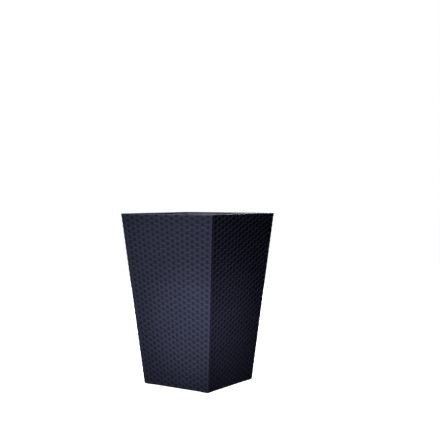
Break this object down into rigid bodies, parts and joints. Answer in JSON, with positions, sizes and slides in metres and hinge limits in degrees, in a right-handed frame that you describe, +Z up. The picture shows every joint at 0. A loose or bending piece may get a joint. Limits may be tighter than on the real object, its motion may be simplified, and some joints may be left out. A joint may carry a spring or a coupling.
{
  "type": "self watering planter",
  "caption": "Tall square tapered planter with a woven surface, a lift-out liner, and a water reservoir with wicking cups, fill shaft and float gauge inside.",
  "frame": {"origin": "on the floor under the middle of the square base", "axes": "+Z up; the four sides face +X, -X, +Y and -Y; the fill shaft and the gauge are on the +Y side"},
  "size_m": [0.37, 0.37, 0.569],
  "materials": {
    "woven_resin": "woven relief, matt",
    "liner_plastic": "moulded, fine grain",
    "black_plastic": "moulded, satin",
    "grey_plastic": "moulded, satin",
    "white_plastic": "moulded",
    "red_plastic": "moulded",
    "clear_plastic": "clear moulded plastic",
    "rubber": "moulded rubber",
    "steel": "drawn stainless wire"
  },
  "bodies": {
    "casing": {"outer_casing": "woven_resin", "foot_pad_front_left": "rubber", "foot_pad_front_right": "rubber", "foot_pad_back_left": "rubber", "foot_pad_back_right": "rubber"},
    "floor_plug": {"floor_plug": "grey_plastic", "floor_plug_seal": "rubber"},
    "liner": {"liner_pot": "liner_plastic", "overflow_standpipe": "grey_plastic", "standpipe_seal": "rubber", "standpipe_nut": "grey_plastic", "standpipe_guard": "grey_plastic"},
    "left_handle": {"lift_handle_left": "black_plastic"},
    "right_handle": {"lift_handle_right": "black_plastic"},
    "separator": {"separator_plate": "liner_plastic", "wicking_cup_front_left": "liner_plastic", "wicking_cup_front_right": "liner_plastic", "wicking_cup_back_left": "liner_plastic", "wicking_cup_back_right": "liner_plastic", "fill_shaft": "liner_plastic", "lid_pin": "steel", "gauge_tube": "black_plastic", "gauge_window": "clear_plastic", "float_cage": "liner_plastic", "gauge_scale": "white_plastic"},
    "fill_lid": {"fill_lid": "black_plastic"},
    "float": {"gauge_float": "white_plastic", "gauge_rod": "white_plastic", "gauge_indicator": "red_plastic"}
  },
  "joints": [
    {"name": "floor_plug_pull", "type": "slide", "parent": "casing", "child": "floor_plug", "axis": [0, 0, 1], "range_m": [0, 0.04]},
    {"name": "liner_lift", "type": "slide", "parent": "casing", "child": "liner", "axis": [0, 0, 1], "range_m": [0, 0.365]},
    {"name": "left_handle_rise", "type": "slide", "parent": "liner", "child": "left_handle", "axis": [0, 0, 1], "range_m": [0, 0.05]},
    {"name": "right_handle_rise", "type": "slide", "parent": "liner", "child": "right_handle", "axis": [0, 0, 1], "range_m": [0, 0.05]},
    {"name": "separator_lift", "type": "slide", "parent": "liner", "child": "separator", "axis": [0, 0, 1], "range_m": [0, 0.33]},
    {"name": "fill_lid_hinge", "type": "hinge", "parent": "separator", "child": "fill_lid", "pos_m": [-0.106, 0.132, 0.5615], "axis": [-1, 0, 0], "range_deg": [0, 110]},
    {"name": "float_rise", "type": "slide", "parent": "separator", "child": "float", "axis": [0, 0, 1], "range_m": [0, 0.042]}
  ]
}
